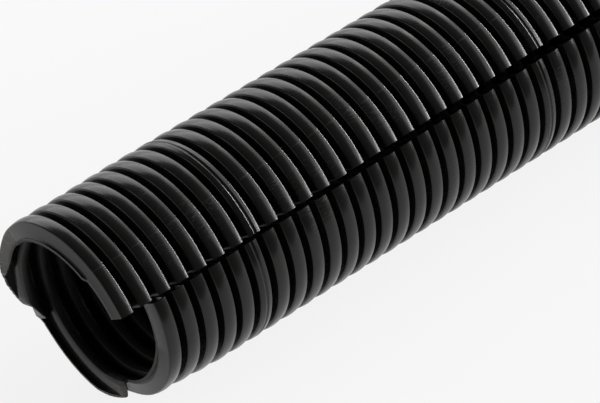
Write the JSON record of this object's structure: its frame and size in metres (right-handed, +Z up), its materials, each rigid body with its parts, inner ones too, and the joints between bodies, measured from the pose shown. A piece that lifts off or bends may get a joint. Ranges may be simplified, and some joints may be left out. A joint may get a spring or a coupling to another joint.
{
  "type": "split corrugated conduit",
  "caption": "Flexible corrugated plastic conduit with a full-length slit, which snaps over cables to guard and bundle them.",
  "frame": {"origin": "middle of the length, on the plane that the tube lies on", "axes": "+X along the tube, away from the hand-cut end; +Z up; the slit faces up and towards -Y"},
  "size_m": [1.001, 0.0344, 0.0345],
  "materials": {
    "black_plastic": "black moulded polypropylene with a satin sheen"
  },
  "bodies": {
    "root": {"split_conduit": "black_plastic"}
  },
  "joints": []
}
